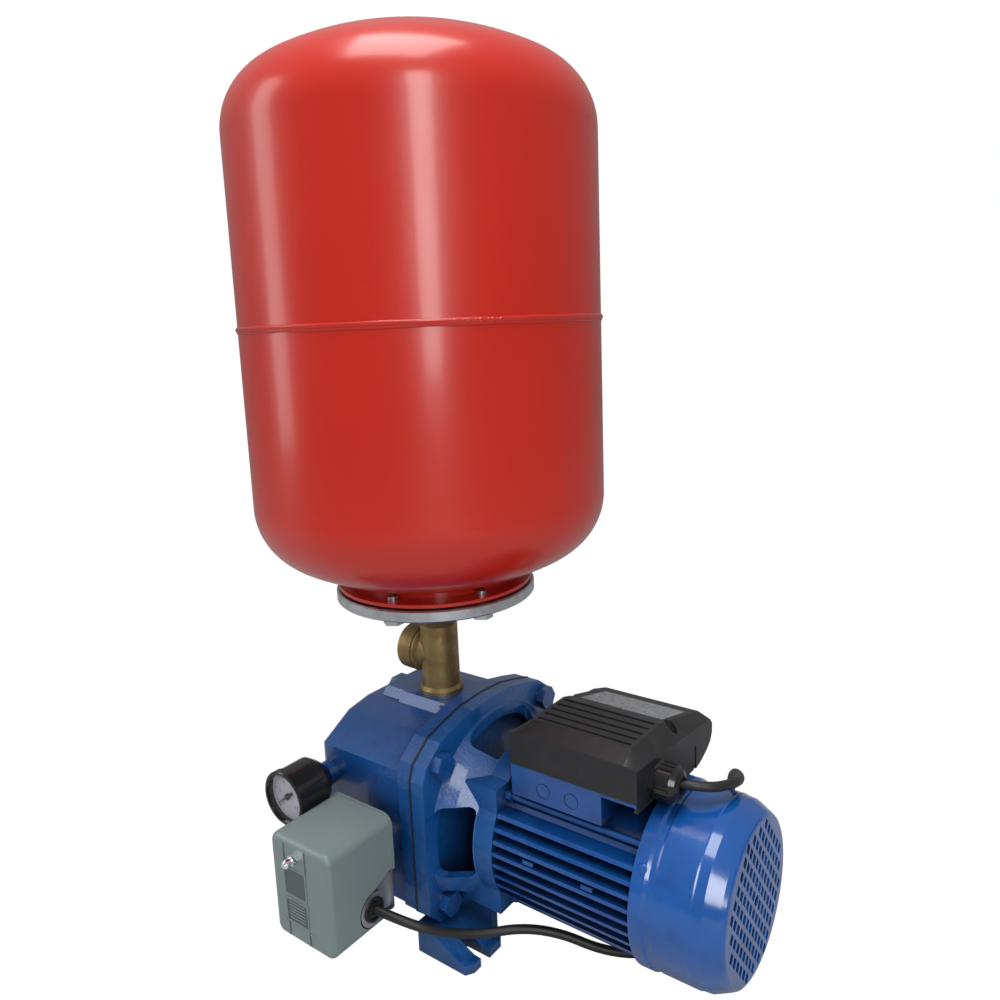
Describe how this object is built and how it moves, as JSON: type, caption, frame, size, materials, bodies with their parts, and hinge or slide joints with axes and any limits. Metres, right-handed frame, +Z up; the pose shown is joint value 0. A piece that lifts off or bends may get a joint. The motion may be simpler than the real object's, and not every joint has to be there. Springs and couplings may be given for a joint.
{
  "type": "shallow well jet pump",
  "caption": "Shallow well jet pump: cast casing on a lantern bracket, finned motor, upright pressure tank on a brass tee, pressure switch and gauge.",
  "frame": {"origin": "on the sole plane of the feet, midway between the round ends of the two foot slots, under the shaft axis", "axes": "+X from the pump casing along the shaft to the fan cover, +Z up along the tank, -Y the side with the gauge and the pressure switch"},
  "size_m": [0.4008, 0.3078, 0.6705],
  "materials": {
    "tank_enamel": "gloss baked enamel",
    "rubber": "matte",
    "zinc_steel": "dull zinc plate",
    "brass": "sand cast, slightly tarnished",
    "chrome": "bright nickel-chrome",
    "blue_iron": "gloss blue paint on a casting",
    "blue_aluminium": "gloss blue paint",
    "blue_steel": "gloss blue paint on pressed sheet",
    "noryl": "moulded",
    "seal_face": "lapped",
    "bright_steel": "ground",
    "core_steel": "varnished laminations",
    "copper": "enamelled wire, varnished",
    "black_plastic": "moulded",
    "black_cover": "satin moulded",
    "white_plastic": "smooth",
    "black_case": "gloss black",
    "clear_lens": "clear",
    "grey_cover": "smooth grey",
    "lead_jacket": "smooth black jacket"
  },
  "bodies": {
    "pump_frame": {"tank_upper_shell": "tank_enamel", "tank_lower_shell": "tank_enamel", "tank_bladder": "rubber", "body_gasket": "rubber", "jet_o_rings": "rubber", "switch_grommet": "rubber", "tank_counter_flange": "zinc_steel", "tank_flange_bolts": "zinc_steel", "bearing_wave_washer": "zinc_steel", "tank_valve_stem": "brass", "brass_tee": "brass", "priming_plug": "brass", "drain_plug": "brass", "gauge_stem": "brass", "tank_valve_cap": "chrome", "switch_nuts": "chrome", "pump_casing": "blue_iron", "motor_bracket": "blue_iron", "diffuser": "noryl", "venturi_tube": "noryl", "jet_nozzle": "noryl", "seal_seat": "seal_face", "bearing_outer_rings": "bright_steel", "switch_springs": "bright_steel", "motor_housing": "blue_aluminium", "motor_end_shield": "blue_aluminium", "stator_core": "core_steel", "stator_windings": "copper", "terminal_block": "black_plastic", "gland_body": "black_plastic", "gland_nut": "black_plastic", "switch_contacts": "black_plastic", "fan_cover": "blue_steel", "casing_bolts": "blue_steel", "tie_rods": "blue_steel", "fan_cover_screws": "blue_steel", "terminal_cover_screws": "zinc_steel", "switch_conduit_ring": "zinc_steel", "terminal_base": "blue_aluminium", "terminal_cover": "black_cover", "run_capacitor": "white_plastic", "gauge_case": "black_case", "gauge_dial": "white_plastic", "gauge_lens": "clear_lens", "switch_cover": "grey_cover", "switch_base": "zinc_steel", "switch_flange": "zinc_steel", "motor_lead": "lead_jacket"},
    "rotor": {"motor_shaft": "bright_steel", "rotor_core": "core_steel", "impeller": "brass", "impeller_nut": "bright_steel", "seal_rotary": "seal_face", "seal_spring": "bright_steel", "bearing_inner_rings": "bright_steel", "water_slinger": "rubber", "cooling_fan": "black_plastic"},
    "ball_sets": {"bearing_balls": "bright_steel"},
    "needle": {"gauge_needle": "black_case"},
    "air_valve": {"tank_valve_pin": "brass"},
    "lever": {"switch_lever": "zinc_steel"}
  },
  "joints": [
    {"name": "rotor_spin", "type": "hinge", "parent": "pump_frame", "child": "rotor", "pos_m": [0, 0, 0.081], "axis": [1, 0, 0], "continuous": true},
    {"name": "balls_roll", "type": "hinge", "parent": "pump_frame", "child": "ball_sets", "pos_m": [0, 0, 0.081], "axis": [1, 0, 0], "continuous": true},
    {"name": "gauge_needle_turn", "type": "hinge", "parent": "pump_frame", "child": "needle", "pos_m": [-0.1176, -0.125, 0.1156], "axis": [0, 1, 0], "range_deg": [0, 270], "stiffness_Nm_per_rad": 0.002},
    {"name": "air_valve_push", "type": "slide", "parent": "pump_frame", "child": "air_valve", "axis": [0, 0, -1], "range_m": [0, 0.0015], "stiffness_N_per_m": 400},
    {"name": "switch_lever_rock", "type": "hinge", "parent": "pump_frame", "child": "lever", "pos_m": [-0.065, -0.11, 0.064], "axis": [1, 0, 0], "range_deg": [0, 2], "stiffness_Nm_per_rad": 2, "deforming": ["switch_springs"]}
  ],
  "couplings": [
    {"joint": "balls_roll", "follows": "rotor_spin", "ratio": 0.387}
  ]
}
